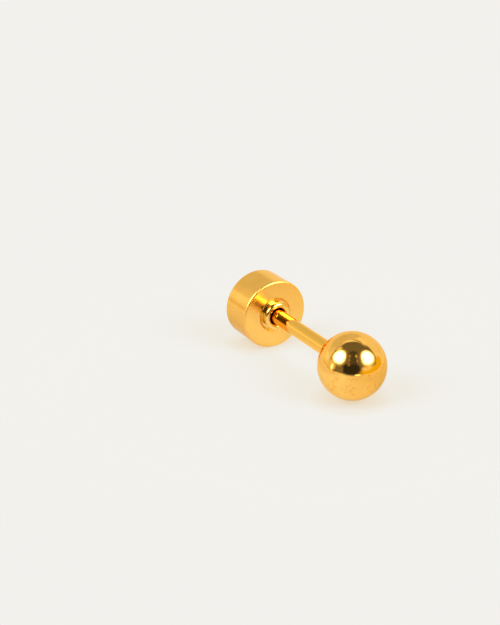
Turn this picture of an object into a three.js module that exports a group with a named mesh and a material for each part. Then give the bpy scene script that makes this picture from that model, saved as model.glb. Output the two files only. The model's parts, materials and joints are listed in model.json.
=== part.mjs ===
// Ball stud earring with a screw back, lying on a surface.
//
// A polished ball is soldered to a plain post. The post enters a drum-shaped back, which holds a
// threaded collar with a rounded lip in a countersunk recess. Each piece is a body of revolution
// about the stud's own axis, so each is one closed outline turned by LatheGeometry.
//
// Frame, in millimetres: +Z up, the stud's axis along Y with the ball at -Y, and the surface that
// it lies on at Z = 0. The ball and a rim of the back both touch that surface, and the back is the
// wider of the two, so the axis rises a little towards it. Places along the axis are measured from
// the ball's centre.

import * as THREE from 'three';

// Driving dimensions

const BALL_DIAMETER = 4.0;
const POST_DIAMETER = 0.95;
const LOBE_GAP = 6.3; // from the ball's rear point to the back's front face
const POST_TIP_CHAMFER = 0.12;

const BACK_DIAMETER = 4.4;
const BACK_LENGTH = 2.3;
const FRONT_RIM_RADIUS = 0.13; // rounding of the edge round the front face
const REAR_RIM_RADIUS = 0.08;
const REAR_WALL = 0.65; // what closes the back behind the pocket

const RECESS_DEPTH = 0.15; // countersink round the collar
const RECESS_SLOPE_DEG = 40; // from the front face
const RECESS_CLEARANCE = 0.04; // how far the recess's floor reaches past the collar's lip

const COLLAR_LIP_RADIUS = 0.175; // the lip is round in section
const COLLAR_PROUD = 0.415; // from the front face to the lip's crest
const COLLAR_LIP_OVERHANG = 0.11; // from the lip's outer edge in to the neck behind it

// Clearances

const MOUTH_CLEARANCE = 0.075; // round the post at the lip
const MOUTH_DEPTH = 0.25; // from the front face to where the mouth has narrowed to the bore
const THREAD_CLEARANCE = 0.03; // round the post in the bore
const TIP_CLEARANCE = 0.2; // between the post's tip and the pocket's end
const SEAT_CLEARANCE = 0.02; // between the collar and its pocket, round it and behind it

// Steps of the round outlines

const ROUND_STEPS = 32; // round the axis
const BALL_STEPS = 15; // from the ball's front pole to its equator, and again on to the post
const RIM_STEPS = 5;
const LIP_STEPS = 14;

// Finishes

const BALL_GOLD = { color: 0xf2b24a, roughness: 0.05, metalness: 1 };
const DRUM_GOLD = { color: 0xf0ad45, roughness: 0.1, metalness: 1 };
const COLLAR_GOLD = { color: 0xe8981c, roughness: 0.08, metalness: 1 };

// Sizes that follow

const ballRadius = BALL_DIAMETER / 2;
const postRadius = POST_DIAMETER / 2;
const backRadius = BACK_DIAMETER / 2;

const face = ballRadius + LOBE_GAP;
const backEnd = face + BACK_LENGTH;
const pocketEnd = backEnd - REAR_WALL;
const postTip = pocketEnd - TIP_CLEARANCE;

const mouthRadius = postRadius + MOUTH_CLEARANCE;
const threadRadius = postRadius + THREAD_CLEARANCE;
const lipCentreRadius = mouthRadius + COLLAR_LIP_RADIUS;
const lipOuterRadius = lipCentreRadius + COLLAR_LIP_RADIUS;
const neckRadius = lipOuterRadius - COLLAR_LIP_OVERHANG;
const pocketRadius = neckRadius + SEAT_CLEARANCE;

const recessFloorRadius = lipOuterRadius + RECESS_CLEARANCE;
const recessRadius = recessFloorRadius + RECESS_DEPTH / Math.tan(radians(RECESS_SLOPE_DEG));

function radians(degrees) {
  return THREE.MathUtils.degToRad(degrees);
}

function degrees(angle) {
  return THREE.MathUtils.radToDeg(angle);
}

// A point of an outline: how far from the axis, and how far along it.
function point(radius, along) {
  return new THREE.Vector2(radius, along);
}

// Points of an arc, both ends included. Angles are in degrees: 0 points away from the axis, 90
// towards the back and -90 towards the ball.
function arc(centre, radius, fromDeg, toDeg, steps) {
  const points = [];
  for (let i = 0; i <= steps; i += 1) {
    const angle = radians(fromDeg + ((toDeg - fromDeg) * i) / steps);
    points.push(point(centre.x + radius * Math.cos(angle), centre.y + radius * Math.sin(angle)));
  }
  return points;
}

// Turns an outline about the stud's axis. The outline runs with the metal on its left, seen with
// the radius to the right and the axis up, so that the faces point out. Half a step of turn puts a
// flat of the outline underneath, where the stud rests.
function turned(outline) {
  return new THREE.LatheGeometry(outline, ROUND_STEPS, Math.PI / ROUND_STEPS);
}

function piece(name, geometry, finish) {
  const mesh = new THREE.Mesh(geometry, new THREE.MeshStandardMaterial(finish));
  mesh.name = name;
  return mesh;
}

// The ball with the post soldered into it: one solid.
function ballPost() {
  const centre = point(0, 0);
  const joinDeg = degrees(Math.acos(postRadius / ballRadius));
  const front = arc(centre, ballRadius, -90, 0, BALL_STEPS);
  const rear = arc(centre, ballRadius, 0, joinDeg, BALL_STEPS);
  return turned([
    point(0, -ballRadius),
    ...front.slice(1),
    ...rear.slice(1),
    point(postRadius, postTip - POST_TIP_CHAMFER),
    point(postRadius - POST_TIP_CHAMFER, postTip),
    point(0, postTip),
  ]);
}

// The drum of the back: a closed rear wall, rounded rims, and in front a countersunk recess with a
// blind pocket for the collar.
function backDrum() {
  const frontRim = point(backRadius - FRONT_RIM_RADIUS, face + FRONT_RIM_RADIUS);
  const rearRim = point(backRadius - REAR_RIM_RADIUS, backEnd - REAR_RIM_RADIUS);
  return turned([
    point(0, pocketEnd),
    point(pocketRadius, pocketEnd),
    point(pocketRadius, face + RECESS_DEPTH),
    point(recessFloorRadius, face + RECESS_DEPTH),
    point(recessRadius, face),
    ...arc(frontRim, FRONT_RIM_RADIUS, -90, 0, RIM_STEPS),
    ...arc(rearRim, REAR_RIM_RADIUS, 0, 90, RIM_STEPS),
    point(0, backEnd),
  ]);
}

// The threaded collar: a bush with a round lip in front of the drum's face. Its neck goes into the
// drum's pocket, and its mouth narrows to the bore that takes the post.
function threadedCollar() {
  const lipCentre = point(lipCentreRadius, face - COLLAR_PROUD + COLLAR_LIP_RADIUS);
  const neckDeg = degrees(Math.acos((neckRadius - lipCentreRadius) / COLLAR_LIP_RADIUS));
  const rear = pocketEnd - SEAT_CLEARANCE;
  const lip = arc(lipCentre, COLLAR_LIP_RADIUS, -180, neckDeg, LIP_STEPS);
  return turned([
    ...lip,
    point(neckRadius, rear),
    point(threadRadius, rear),
    point(threadRadius, face + MOUTH_DEPTH),
    point(mouthRadius, face),
    lip[0].clone(),
  ]);
}

// The angle that the axis rises by where a level surface touches the ball and one rim of the back.
function riseToTouch(rimPlace, rimRadius) {
  const rimOut = backRadius - rimRadius;
  const reach = Math.hypot(rimPlace, rimOut);
  return Math.atan2(rimOut, rimPlace) - Math.asin((ballRadius - rimRadius) / reach);
}

// The stud as it rests: the rim that needs the larger angle is the one that touches. It is set
// down with its box centred over the origin.
function ballStud() {
  const stud = new THREE.Group();
  stud.add(piece('ball_post', ballPost(), BALL_GOLD));
  stud.add(piece('back_drum', backDrum(), DRUM_GOLD));
  stud.add(piece('threaded_collar', threadedCollar(), COLLAR_GOLD));
  stud.rotation.x = Math.max(
    riseToTouch(face + FRONT_RIM_RADIUS, FRONT_RIM_RADIUS),
    riseToTouch(backEnd - REAR_RIM_RADIUS, REAR_RIM_RADIUS),
  );
  stud.updateMatrixWorld(true);
  const box = new THREE.Box3().setFromObject(stud, true);
  const centre = box.getCenter(new THREE.Vector3());
  stud.position.set(-centre.x, -centre.y, -box.min.z);
  return stud;
}

const object = new THREE.Group();
object.add(ballStud());

export default object;
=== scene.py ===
"""Ball stud earring with a screw back, lying on a pale surface.

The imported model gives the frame. Each of its three solids is replaced by a fine mesh turned from
the same section, with exact normals, because polished metal shows every facet. Lengths are in
metres. The studio is a world shader: soft lights, pale walls and the dark room round the camera.
"""

import json
import math

import bpy
from mathutils import Matrix, Vector


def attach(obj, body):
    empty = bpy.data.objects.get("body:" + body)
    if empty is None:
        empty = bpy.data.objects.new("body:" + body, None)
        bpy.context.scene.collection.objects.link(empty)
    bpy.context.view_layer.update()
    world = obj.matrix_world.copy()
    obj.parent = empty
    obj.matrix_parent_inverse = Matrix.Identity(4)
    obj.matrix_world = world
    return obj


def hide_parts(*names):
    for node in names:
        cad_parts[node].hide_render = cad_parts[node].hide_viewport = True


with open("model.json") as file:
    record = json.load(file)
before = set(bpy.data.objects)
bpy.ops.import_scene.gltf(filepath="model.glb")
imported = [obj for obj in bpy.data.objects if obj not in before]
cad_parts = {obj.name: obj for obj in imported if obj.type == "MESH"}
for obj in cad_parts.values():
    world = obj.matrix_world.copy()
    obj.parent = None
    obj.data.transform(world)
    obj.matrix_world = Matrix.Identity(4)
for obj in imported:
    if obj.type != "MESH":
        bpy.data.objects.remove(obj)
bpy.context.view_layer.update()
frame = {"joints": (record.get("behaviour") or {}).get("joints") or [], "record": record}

# Sizes of the section, as in the part. Places along the axis are measured from the ball's centre.

MM = 0.001
BALL_RADIUS = 1.999 * MM # a micron inside the solid's front point
POST_RADIUS = 0.475 * MM
POST_TIP_CHAMFER = 0.12 * MM
FACE = 8.3 * MM
BACK_RADIUS = 2.2 * MM
BACK_END = FACE + 2.3 * MM
FRONT_RIM_RADIUS = 0.13 * MM
REAR_RIM_RADIUS = 0.08 * MM
POCKET_END = BACK_END - 0.65 * MM
POST_TIP = POCKET_END - 0.2 * MM
MOUTH_RADIUS = POST_RADIUS + 0.075 * MM
MOUTH_DEPTH = 0.25 * MM
THREAD_RADIUS = POST_RADIUS + 0.03 * MM
LIP_RADIUS = 0.175 * MM
LIP_CENTRE_RADIUS = MOUTH_RADIUS + LIP_RADIUS
LIP_PLACE = FACE - 0.415 * MM + LIP_RADIUS
NECK_RADIUS = LIP_CENTRE_RADIUS + LIP_RADIUS - 0.11 * MM
SEAT_CLEARANCE = 0.02 * MM
POCKET_RADIUS = NECK_RADIUS + SEAT_CLEARANCE
RECESS_DEPTH = 0.15 * MM
RECESS_SLOPE = math.radians(40)
RECESS_FLOOR_RADIUS = LIP_CENTRE_RADIUS + LIP_RADIUS + 0.04 * MM
RECESS_RADIUS = RECESS_FLOOR_RADIUS + RECESS_DEPTH / math.tan(RECESS_SLOPE)

# The solids are turned in this many flats, and the fine meshes stay inside their box.
CAD_FLATS = 32
INSIDE_MARGIN = 0.0002
INSIDE = math.cos(math.pi / CAD_FLATS) - INSIDE_MARGIN
TURN_STEPS = 256
ARC_STEPS = 24
BALL_STEPS = 96

# The photograph's view. Pixels are those of the 500 by 625 frame.

FRAME_WIDTH = 500
FRAME_HEIGHT = 625
FOCAL_PIXELS = 1174.0
SENSOR = 36.0
CAMERA_AZIMUTH = math.radians(-30.49)
CAMERA_ELEVATION = math.radians(22.10)
BALL_DEPTH = 66.34 * MM
BALL_PIXEL = (352.1, 365.75)

# Colours, as linear light

GOLD = (1.0, 0.55, 0.11)
POST_GOLD = (0.98, 0.54, 0.09)
# painted light: a paler gold for the drum's recess, standing in for brighter reflections there than
# the gold's own bounces give
RECESS_PAINTED_LIGHT_GOLD = (0.98, 0.74, 0.28)
COLLAR_GOLD = (0.97, 0.61, 0.14)
EDGE_TINT = (0.98, 0.86, 0.62) # what is left of the whitening at a grazing angle
WORN = (0.90, 0.66, 0.36) # what a worn spot leaves of the gold
CLOUDED = 0.95 # and a clouded one
PALE_GROUND = (0.894, 0.879, 0.846)

# Where the metal's finish changes

POST_START = 1.93 * MM # behind the ball's centre
FLAT_FACE = 0.005 * MM # behind the face's plane, where the rim's finish begins
RIM_START = 0.03 * MM
RIM_END = 0.12 * MM
SIDE_START = 0.17 * MM
RECESS_START = 0.01 * MM
TINT_BLEND = 0.02 * MM
FACE_ROUGHNESS = 0.20
RIM_ROUGHNESS = 0.37

# Textures of the metal: how many to a metre, and how deep

RINGS = 26000.0 # the lathe's marks
CLOUDS = 900.0
SCUFFS = 5200.0
SPECKS = 5600.0
WORN_PATCHES = 1500.0
WAVES = 2200.0
RING_DEPTH = 0.002 * MM
WAVE_DEPTH = 0.004 * MM


def stud_frame():
    """The matrix from the section's own frame, with the axis up and the ball's centre at the
    origin, to the row frame."""
    axis = Vector(frame["joints"][0]["axis"]).normalized()
    rear = next(m for m in frame["record"]["mounts"] if m["name"] == "rear_face")
    centre = Vector(rear["pos_m"]) - axis * BACK_END
    side = Vector((1, 0, 0))
    other = axis.cross(side)
    turn = Matrix((side, other, axis)).transposed().to_4x4()
    return Matrix.Translation(centre) @ turn


STUD = stud_frame()
AXIS = (STUD.to_3x3() @ Vector((0, 0, 1))).normalized()
BALL_CENTRE = STUD.translation.copy()


def line(start, end):
    """A straight stretch of a section: points with their normals, the metal on its left."""
    run = Vector(end) - Vector(start)
    normal = Vector((run.y, -run.x)).normalized()
    return [(Vector(start), normal), (Vector(end), normal)]


def arc(centre, radius, start_deg, end_deg, steps=ARC_STEPS):
    """A round stretch. Angles: 0 away from the axis, 90 towards the back. A turn that runs the
    other way is hollow, and its normals point in."""
    points = []
    out = 1 if end_deg > start_deg else -1
    for i in range(steps + 1):
        angle = math.radians(start_deg + (end_deg - start_deg) * i / steps)
        ray = Vector((math.cos(angle), math.sin(angle)))
        points.append((Vector(centre) + ray * radius, ray * out))
    return points


def turned(name, stretches):
    """A closed body turned from a section, with the section's own normals on every corner."""
    rings, corners = [], []
    for stretch in stretches:
        if rings and (rings[-1] - stretch[0][0]).length < 1e-9:
            start = len(rings) - 1
        else:
            start = len(rings)
            rings.append(stretch[0][0])
        for i in range(1, len(stretch)):
            rings.append(stretch[i][0])
            corners.append((start + i - 1, start + i, stretch[i - 1][1], stretch[i][1]))
    closed = (rings[0] - rings[-1]).length < 1e-9
    if closed:
        rings.pop()
    angles = [2 * math.pi * k / TURN_STEPS for k in range(TURN_STEPS)]
    verts, first = [], []
    for ring in rings:
        first.append(len(verts))
        if ring.x < 1e-9:
            verts.append(STUD @ Vector((0, 0, ring.y)))
        else:
            out = ring.x * INSIDE
            verts += [STUD @ Vector((out * math.cos(a), out * math.sin(a), ring.y)) for a in angles]
    rotation = STUD.to_3x3()
    faces, normals = [], []
    for low, high, low_normal, high_normal in corners:
        high = high % len(rings)
        low_pole, high_pole = rings[low].x < 1e-9, rings[high].x < 1e-9
        if low_pole and high_pole:
            continue
        for k in range(TURN_STEPS):
            after = (k + 1) % TURN_STEPS
            loop = [(low, k, low_normal)]
            loop += [] if low_pole else [(low, after, low_normal)]
            loop += [(high, after, high_normal)]
            loop += [] if high_pole else [(high, k, high_normal)]
            faces.append([first[r] + (0 if rings[r].x < 1e-9 else turn) for r, turn, _ in loop])
            for _, turn, n in loop:
                a = angles[turn]
                normals.append(rotation @ Vector((n.x * math.cos(a), n.x * math.sin(a), n.y)))
    mesh = bpy.data.meshes.new(name)
    mesh.from_pydata(verts, [], faces)
    mesh.shade_smooth()
    mesh.normals_split_custom_set(normals)
    piece = bpy.data.objects.new(name, mesh)
    bpy.context.scene.collection.objects.link(piece)
    return piece


def ball_and_post():
    join = math.degrees(math.acos(POST_RADIUS / BALL_RADIUS))
    end = POST_TIP - POST_TIP_CHAMFER
    return turned("ball_and_post", [
        arc((0, 0), BALL_RADIUS, -90, join, BALL_STEPS),
        line((POST_RADIUS, BALL_RADIUS * math.sin(math.radians(join))), (POST_RADIUS, end)),
        line((POST_RADIUS, end), (POST_RADIUS - POST_TIP_CHAMFER, POST_TIP)),
        line((POST_RADIUS - POST_TIP_CHAMFER, POST_TIP), (0, POST_TIP)),
    ])


def screw_back_drum():
    front = (BACK_RADIUS - FRONT_RIM_RADIUS, FACE + FRONT_RIM_RADIUS)
    rear = (BACK_RADIUS - REAR_RIM_RADIUS, BACK_END - REAR_RIM_RADIUS)
    floor = FACE + RECESS_DEPTH
    return turned("screw_back_drum", [
        line((0, POCKET_END), (POCKET_RADIUS, POCKET_END)),
        line((POCKET_RADIUS, POCKET_END), (POCKET_RADIUS, floor)),
        line((POCKET_RADIUS, floor), (RECESS_FLOOR_RADIUS, floor)),
        line((RECESS_FLOOR_RADIUS, floor), (RECESS_RADIUS, FACE)),
        line((RECESS_RADIUS, FACE), (front[0], FACE)),
        arc(front, FRONT_RIM_RADIUS, -90, 0),
        line((BACK_RADIUS, front[1]), (BACK_RADIUS, rear[1])),
        arc(rear, REAR_RIM_RADIUS, 0, 90),
        line((rear[0], BACK_END), (0, BACK_END)),
    ])


def rounded_collar():
    neck = math.degrees(math.acos((NECK_RADIUS - LIP_CENTRE_RADIUS) / LIP_RADIUS))
    neck_place = LIP_PLACE + LIP_RADIUS * math.sin(math.radians(neck))
    rear = POCKET_END - SEAT_CLEARANCE
    narrow = FACE + MOUTH_DEPTH
    return turned("rounded_collar", [
        arc((LIP_CENTRE_RADIUS, LIP_PLACE), LIP_RADIUS, -180, neck, 2 * ARC_STEPS),
        line((NECK_RADIUS, neck_place), (NECK_RADIUS, rear)),
        line((NECK_RADIUS, rear), (THREAD_RADIUS, rear)),
        line((THREAD_RADIUS, rear), (THREAD_RADIUS, narrow)),
        line((THREAD_RADIUS, narrow), (MOUTH_RADIUS, FACE)),
        line((MOUTH_RADIUS, FACE), (MOUTH_RADIUS, LIP_PLACE)),
    ])


class Tree:
    """Short ways to add shader nodes."""

    def __init__(self, node_tree):
        self.tree = node_tree
        node_tree.nodes.clear()

    def add(self, kind, **settings):
        node = self.tree.nodes.new(kind)
        for key, value in settings.items():
            setattr(node, key, value)
        return node

    def put(self, socket, value):
        if hasattr(value, "links"):
            self.tree.links.new(value, socket)
        elif value is not None:
            socket.default_value = value

    def math(self, operation, a, b=None):
        node = self.add("ShaderNodeMath", operation=operation)
        self.put(node.inputs[0], a)
        self.put(node.inputs[1], b)
        return node.outputs[0]

    def vector(self, operation, a, b=None):
        node = self.add("ShaderNodeVectorMath", operation=operation)
        self.put(node.inputs[0], a)
        self.put(node.inputs[1], b)
        return node.outputs["Value" if operation in ("DOT_PRODUCT", "LENGTH") else "Vector"]

    def ramp(self, value, low, high, to_low=0.0, to_high=1.0):
        node = self.add("ShaderNodeMapRange", interpolation_type="SMOOTHSTEP")
        for socket, v in zip(node.inputs, (value, low, high, to_low, to_high)):
            self.put(socket, v)
        return node.outputs[0]

    def bump(self, height, strength, depth, normal=None):
        node = self.add("ShaderNodeBump")
        node.inputs["Strength"].default_value = strength
        node.inputs["Distance"].default_value = depth
        self.put(node.inputs["Height"], height)
        self.put(node.inputs["Normal"], normal)
        return node.outputs[0]

    def mix(self, factor, a, b):
        """Mixes two colours: sockets 6, 7 and 2 are the node's coloured ones."""
        node = self.add("ShaderNodeMix", data_type="RGBA")
        self.put(node.inputs["Factor"], factor)
        self.put(node.inputs[6], a)
        self.put(node.inputs[7], b)
        return node.outputs[2]

    def noise(self, vector, scale, detail=2.0):
        node = self.add("ShaderNodeTexNoise")
        self.put(node.inputs["Vector"], vector)
        node.inputs["Scale"].default_value = scale
        node.inputs["Detail"].default_value = detail
        return node.outputs["Fac"]


def gold(name, colour, roughness, marks, wear, inner_tint_and_painted_light=None, rimmed=False):
    """Polished gold-coloured metal. The lathe's marks run round the axis, so they are read from
    how far a point is along the axis and out from it. The inner tint gives another colour to what
    lies within a radius and between two places along the axis: on the post it is the post's own
    gold, and in the drum's recess it is painted light, a paler gold standing in for brighter
    reflections there. Rimmed metal has a face and a rim that are rougher than its side."""
    material = bpy.data.materials.new(name)
    material.use_nodes = True
    t = Tree(material.node_tree)
    place = t.add("ShaderNodeTexCoord").outputs["Object"]
    from_ball = t.vector("SUBTRACT", place, BALL_CENTRE)
    along = t.vector("DOT_PRODUCT", from_ball, AXIS)
    out = t.vector("LENGTH", t.vector("CROSS_PRODUCT", from_ball, AXIS))
    section = t.add("ShaderNodeCombineXYZ")
    t.put(section.inputs[0], along)
    t.put(section.inputs[1], out)
    shader = t.add("ShaderNodeBsdfPrincipled")
    shader.inputs["Metallic"].default_value = 1.0
    shader.inputs["Specular Tint"].default_value = (*EDGE_TINT, 1)

    clouds = t.ramp(t.noise(place, CLOUDS, 3.0), 0.35, 0.7)
    tint = t.mix(clouds, (*colour, 1), (*(c * CLOUDED for c in colour), 1))
    specks = t.math("MULTIPLY", t.ramp(t.noise(place, SPECKS, 3.0), 0.52, 0.62),
                    t.ramp(t.noise(place, WORN_PATCHES, 1.0), 0.42, 0.62))
    worn = (*(c * w for c, w in zip(colour, WORN)), 1)
    tint = t.mix(t.math("MULTIPLY", specks, wear), tint, worn)
    # on the drum, the inner tint is painted light: a paler gold in the recess
    if inner_tint_and_painted_light:
        radius, start, end, other = inner_tint_and_painted_light
        within = t.math("MULTIPLY", t.ramp(out, radius, radius + TINT_BLEND, 1, 0),
                        t.ramp(along, start, start + TINT_BLEND))
        within = t.math("MULTIPLY", within, t.ramp(along, end, end + TINT_BLEND, 1, 0))
        tint = t.mix(within, tint, (*other, 1))
    t.put(shader.inputs["Base Color"], tint)

    if rimmed:
        ahead = t.ramp(along, FACE + FLAT_FACE, FACE + RIM_START, FACE_ROUGHNESS, RIM_ROUGHNESS)
        roughness = t.ramp(along, FACE + RIM_END, FACE + SIDE_START, ahead, roughness)
    scuffs = t.ramp(t.noise(place, SCUFFS, 4.0), 0.3, 0.75, 0.85, 1.25)
    t.put(shader.inputs["Roughness"], t.math("MULTIPLY", scuffs, roughness))

    turning = t.bump(t.noise(section.outputs[0], RINGS, 3.0), marks, RING_DEPTH)
    waves = t.bump(t.noise(place, WAVES, 1.0), wear, WAVE_DEPTH, turning)
    t.put(shader.inputs["Normal"], waves)
    output = t.add("ShaderNodeOutputMaterial")
    t.put(output.inputs["Surface"], shader.outputs[0])
    return material


# What stands round the stud in the studio. Azimuth is in degrees from the camera's side, positive
# to the picture's right, and elevation in degrees from level. Shape is 2 for round, more for
# square. Later rows lie over earlier ones.
STUDIO = (
    # azimuth, elevation, half width, half height, shape, edge, light
    (180, 8, 88, 62, 2.0, 0.10, (0.98, 0.96, 0.93)),
    (180, 55, 62, 12, 2.0, 0.60, (1.15, 1.12, 1.05)),
    (150, 61, 34, 3, 2.0, 0.90, (0.45, 0.40, 0.32)),
    (-152, 42, 38, 17, 3.0, 0.50, (0.75, 0.73, 0.70)),
    (-170, 42, 30, 17, 3.0, 0.60, (0.75, 0.73, 0.70)),
    (-119, 30, 9, 8, 2.0, 0.90, (0.84, 0.80, 0.70)),
    (-112, 14, 14, 6, 2.0, 0.60, (1.12, 1.10, 1.05)),
    (-106, 0, 14, 3, 2.0, 0.80, (0.88, 0.72, 0.45)),
    (-98, 52, 12, 9, 2.0, 1.00, (0.95, 0.92, 0.85)),
    (0, 30, 46, 40, 2.6, 0.50, (0.19, 0.18, 0.17)),
    (0, 66, 30, 8, 2.0, 0.80, (0.07, 0.07, 0.06)),
    (-1, 34, 15, 30, 2.6, 0.60, (0.085, 0.08, 0.075)),
    (-8, 12, 30, 17, 3.0, 0.40, (0.033, 0.033, 0.036)),
    (-49, 7, 14, 10, 3.0, 0.50, (0.24, 0.22, 0.20)),
    (-80, 8, 17, 12, 2.6, 0.50, (0.90, 0.84, 0.70)),
    (-75, 5, 4, 8, 2.0, 0.90, (2.50, 2.20, 1.80)),
    (64, 1, 42, 8, 3.0, 0.50, (0.90, 0.66, 0.02)),
    (96, 8, 13, 10, 2.4, 0.60, (0.90, 0.66, 0.02)),
    (46, 11, 19, 7, 2.2, 0.80, (1.00, 0.95, 0.75)),
    (-22, 55, 4, 4, 2.0, 1.00, (0.50, 0.40, 0.24)),
    (15, 55, 5, 4, 2.0, 1.00, (0.80, 0.68, 0.45)),
    (-19, 42, 3, 3, 2.0, 1.00, (0.50, 0.38, 0.22)),
    (15, 39, 3, 4, 2.0, 1.00, (0.55, 0.38, 0.18)),
    (-18, 28, 5, 6, 2.0, 1.00, (0.28, 0.20, 0.10)),
    (-65, 40, 31, 24, 2.2, 0.50, (0.95, 0.90, 0.80)),
    (62, 36, 31, 24, 2.2, 0.50, (0.95, 0.90, 0.80)),
    (-65, 41, 24, 17.5, 2.3, 0.50, (10.0, 10.0, 10.0)),
    (62, 38, 24, 17.5, 2.3, 0.50, (10.0, 10.0, 10.0)),
    (13, -6, 9, 2.2, 2.0, 0.80, (2.40, 2.20, 1.80)),
)
CEILING = (0.17, 0.165, 0.16)
SURFACE_BEYOND = (1.10, 1.06, 1.00)
SURFACE_EDGE = (-6.0, -3.0)


def studio():
    """The light that falls on the stud, and a plain pale ground for what the camera sees."""
    world = bpy.data.worlds.new("studio")
    bpy.context.scene.world = world
    world.use_nodes = True
    t = Tree(world.node_tree)
    ray = t.add("ShaderNodeTexCoord").outputs["Generated"]
    up = t.vector("DOT_PRODUCT", ray, (0, 0, 1))
    elevation = t.math("MULTIPLY", t.math("ARCSINE", up), 180 / math.pi)
    light = t.mix(t.ramp(elevation, *SURFACE_EDGE), (*SURFACE_BEYOND, 1), (*CEILING, 1))
    for azimuth, height, half_width, half_height, shape, edge, colour in STUDIO:
        heading = CAMERA_AZIMUTH - math.pi / 2 + math.radians(azimuth)
        ahead = t.vector("DOT_PRODUCT", ray, (math.cos(heading), math.sin(heading), 0))
        aside = t.vector("DOT_PRODUCT", ray, (-math.sin(heading), math.cos(heading), 0))
        turn = t.math("MULTIPLY", t.math("ARCTAN2", aside, ahead), 180 / math.pi / half_width)
        rise = t.math("DIVIDE", t.math("SUBTRACT", elevation, height), half_height)
        far = t.math("ADD", t.math("POWER", t.math("ABSOLUTE", turn), shape),
                     t.math("POWER", t.math("ABSOLUTE", rise), shape))
        mask = t.ramp(t.math("POWER", far, 1 / shape), 1 + edge / 2, 1 - edge / 2)
        light = t.mix(mask, light, (*colour, 1))
    path = t.add("ShaderNodeLightPath")
    lit = t.add("ShaderNodeBackground")
    t.put(lit.inputs["Color"], light)
    plain = t.add("ShaderNodeBackground")
    t.put(plain.inputs["Color"], (*PALE_GROUND, 1))
    choice = t.add("ShaderNodeMixShader")
    t.put(choice.inputs[0], path.outputs["Is Camera Ray"])
    t.put(choice.inputs[1], lit.outputs[0])
    t.put(choice.inputs[2], plain.outputs[0])
    output = t.add("ShaderNodeOutputWorld")
    t.put(output.inputs["Surface"], choice.outputs[0])


# The surface: what the camera sees of it, and what the metal mirrors. The metal sees it with
# deeper shadows, because the picture's whites are nearly burnt out and its metal isn't.

SURFACE_RADIUS = 26 * MM
SURFACE_FADE = (14 * MM, 25 * MM)
SURFACE_STEPS = 96
SURFACE_GLOW = (0.809, 0.743, 0.605)
SURFACE_ALBEDO = (0.048, 0.080, 0.140)
PAINTED_CONTACT_SHADOW = (0.775, 0.62, 0.41) # painted contact shadow: a darker, warmer glow close under the metal, also standing in for the warm light that the metal throws there
CONTACT_SHADOW_REACH = 1.2 * MM
MIRRORED_ALBEDO = (0.25, 0.245, 0.24)
MIRRORED_SHADE_BEHIND = (0.50, 0.48, 0.54) # painted shade: a dimmer glow left of the back
MIRRORED_LIGHT_POOL_AT_FOOT = (0.60, 0.66, 0.80) # painted pool of light at the back's foot, standing in for light the metal throws there
MIRRORED_SHADE_FAR = (0.48, 0.42, 0.32) # painted shade: a dimmer, warmer glow in front of the ball, to the picture's right
MIRRORED_ACROSS = (1, -1, 0)
BEHIND_TO_FOOT = (-8 * MM, -3 * MM)
FOOT_TO_FAR = (0 * MM, 12 * MM)


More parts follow.
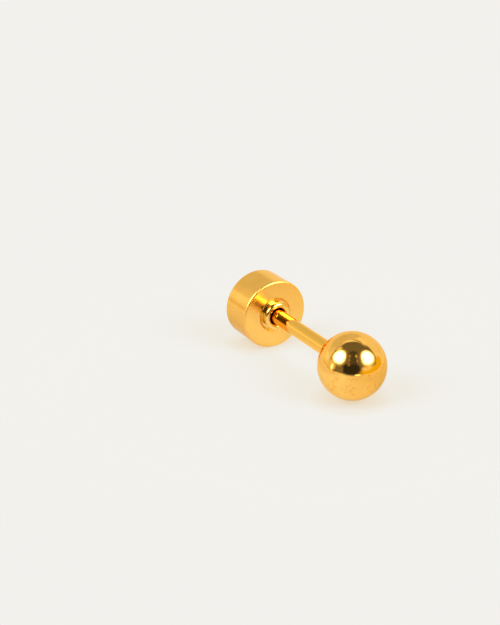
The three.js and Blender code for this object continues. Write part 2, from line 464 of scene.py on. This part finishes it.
def pale_surface():
    """The surface that the stud lies on. It fades into the plain ground before its edge."""
    ring = [(SURFACE_RADIUS * math.cos(2 * math.pi * k / SURFACE_STEPS),
             SURFACE_RADIUS * math.sin(2 * math.pi * k / SURFACE_STEPS), 0)
            for k in range(SURFACE_STEPS)]
    mesh = bpy.data.meshes.new("pale_surface")
    mesh.from_pydata(ring, [], [list(range(SURFACE_STEPS))])
    surface = bpy.data.objects.new("pale_surface", mesh)
    bpy.context.scene.collection.objects.link(surface)
    material = bpy.data.materials.new("pale_surface")
    material.use_nodes = True
    t = Tree(material.node_tree)
    place = t.add("ShaderNodeTexCoord").outputs["Object"]
    seen = t.add("ShaderNodeLightPath").outputs["Is Camera Ray"]
    diffuse = t.add("ShaderNodeBsdfDiffuse")
    t.put(diffuse.inputs["Color"], t.mix(seen, (*MIRRORED_ALBEDO, 1), (*SURFACE_ALBEDO, 1)))
    glow = t.add("ShaderNodeEmission")
    # painted light and shade on what the metal mirrors: a pool of light at the back's foot, standing
    # in for light the metal throws there, and a dimmer glow behind the back and far off
    across = t.vector("DOT_PRODUCT", place, MIRRORED_ACROSS)
    mirrored_light_and_shade = t.mix(t.ramp(across, *BEHIND_TO_FOOT), (*MIRRORED_SHADE_BEHIND, 1), (*MIRRORED_LIGHT_POOL_AT_FOOT, 1))
    mirrored_light_and_shade = t.mix(t.ramp(across, *FOOT_TO_FAR), mirrored_light_and_shade, (*MIRRORED_SHADE_FAR, 1))
    # painted contact shadow: the glow the camera sees turns darker and warmer where the Ambient
    # Occlusion node finds the metal close above
    contact_shadow_ao = t.add("ShaderNodeAmbientOcclusion", samples=8)
    contact_shadow_ao.inputs["Distance"].default_value = CONTACT_SHADOW_REACH
    shaded = t.mix(contact_shadow_ao.outputs["AO"], (*PAINTED_CONTACT_SHADOW, 1), (*SURFACE_GLOW, 1))
    t.put(glow.inputs["Color"], t.mix(seen, mirrored_light_and_shade, shaded))
    both = t.add("ShaderNodeAddShader")
    t.put(both.inputs[0], diffuse.outputs[0])
    t.put(both.inputs[1], glow.outputs[0])
    clear = t.add("ShaderNodeBsdfTransparent")
    fade = t.add("ShaderNodeMixShader")
    t.put(fade.inputs[0], t.ramp(t.vector("LENGTH", place), *SURFACE_FADE))
    t.put(fade.inputs[1], both.outputs[0])
    t.put(fade.inputs[2], clear.outputs[0])
    output = t.add("ShaderNodeOutputMaterial")
    t.put(output.inputs["Surface"], fade.outputs[0])
    mesh.materials.append(material)


def camera():
    """The photograph's view: the ball's centre comes out at its pixel."""
    data = bpy.data.cameras.new("camera")
    data.sensor_width = SENSOR
    data.lens = FOCAL_PIXELS / FRAME_HEIGHT * SENSOR
    data.clip_start = 1 * MM
    data.clip_end = 10
    seen = bpy.data.objects.new("camera", data)
    bpy.context.scene.collection.objects.link(seen)
    seen.rotation_euler = (math.pi / 2 - CAMERA_ELEVATION, 0, CAMERA_AZIMUTH)
    bpy.context.view_layer.update()
    right = (BALL_PIXEL[0] - FRAME_WIDTH / 2) / FOCAL_PIXELS
    down = (BALL_PIXEL[1] - FRAME_HEIGHT / 2) / FOCAL_PIXELS
    from_camera = Vector((right, -down, -1)) * BALL_DEPTH
    seen.location = BALL_CENTRE - seen.matrix_world.to_3x3() @ from_camera
    bpy.context.scene.camera = seen


def dress(piece, body, node, material):
    piece.data.materials.append(material)
    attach(piece, body)
    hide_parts(node)


camera()
studio()
pale_surface()
POST_TINT = (POST_RADIUS, POST_START, BACK_END, POST_GOLD)
# painted light: the drum's recess gets a paler gold, standing in for brighter reflections there
RECESS_PAINTED_LIGHT = (RECESS_RADIUS, FACE + RECESS_START, POCKET_END, RECESS_PAINTED_LIGHT_GOLD)
dress(ball_and_post(), "stud", "ball_post",
      gold("ball_gold", GOLD, roughness=0.07, marks=0.03, wear=0.65, inner_tint_and_painted_light=POST_TINT))
dress(screw_back_drum(), "back", "back_drum",
      gold("drum_gold", GOLD, roughness=0.13, marks=0.08, wear=0.08, inner_tint_and_painted_light=RECESS_PAINTED_LIGHT, rimmed=True))
dress(rounded_collar(), "back", "threaded_collar",
      gold("collar_gold", COLLAR_GOLD, roughness=0.12, marks=0.04, wear=0.08))

bpy.context.scene.view_settings.view_transform = "Standard"
